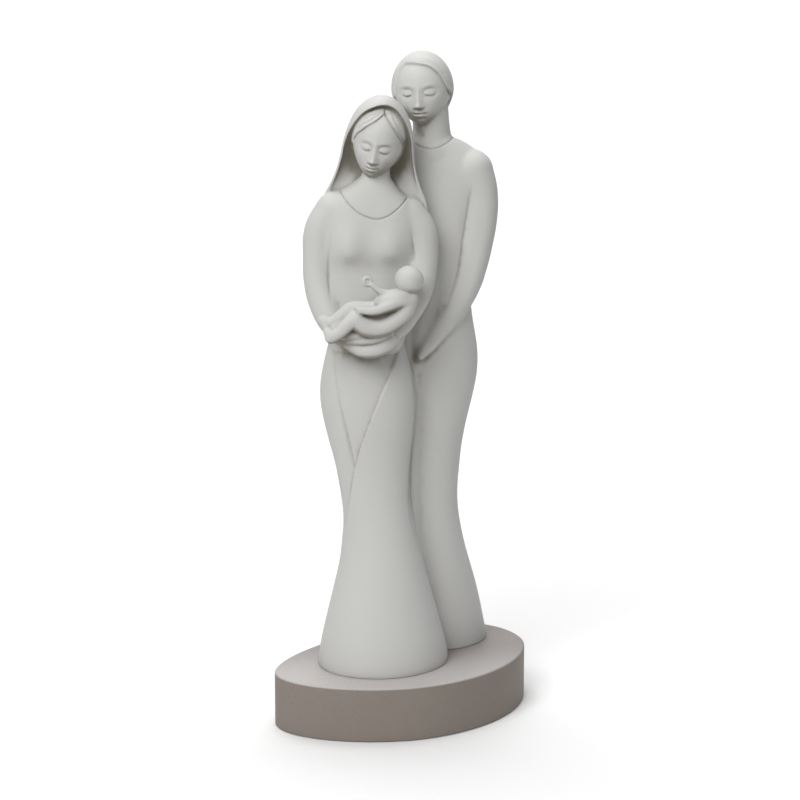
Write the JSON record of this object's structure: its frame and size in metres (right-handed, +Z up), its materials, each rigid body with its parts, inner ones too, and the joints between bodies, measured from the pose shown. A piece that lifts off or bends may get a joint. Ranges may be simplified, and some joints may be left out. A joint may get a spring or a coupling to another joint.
{
  "type": "family figurine",
  "caption": "Smooth white figurine of a veiled mother cradling a baby with the father standing behind her, all joined, on a low taupe oval plinth.",
  "frame": {"origin": "middle of the plinth's underside, under the middle of the object's bounding box", "axes": "+Z up, -Y the way the figures face, +X to the right of someone who looks at their faces"},
  "size_m": [0.1582, 0.1386, 0.4131],
  "materials": {
    "white_stoneware": "matte unglazed white stoneware, smooth, with a faint warm tone in the creases",
    "taupe_stoneware": "matte taupe stoneware with a very fine grain"
  },
  "bodies": {
    "root": {"figures": "white_stoneware", "plinth": "taupe_stoneware"}
  },
  "joints": []
}
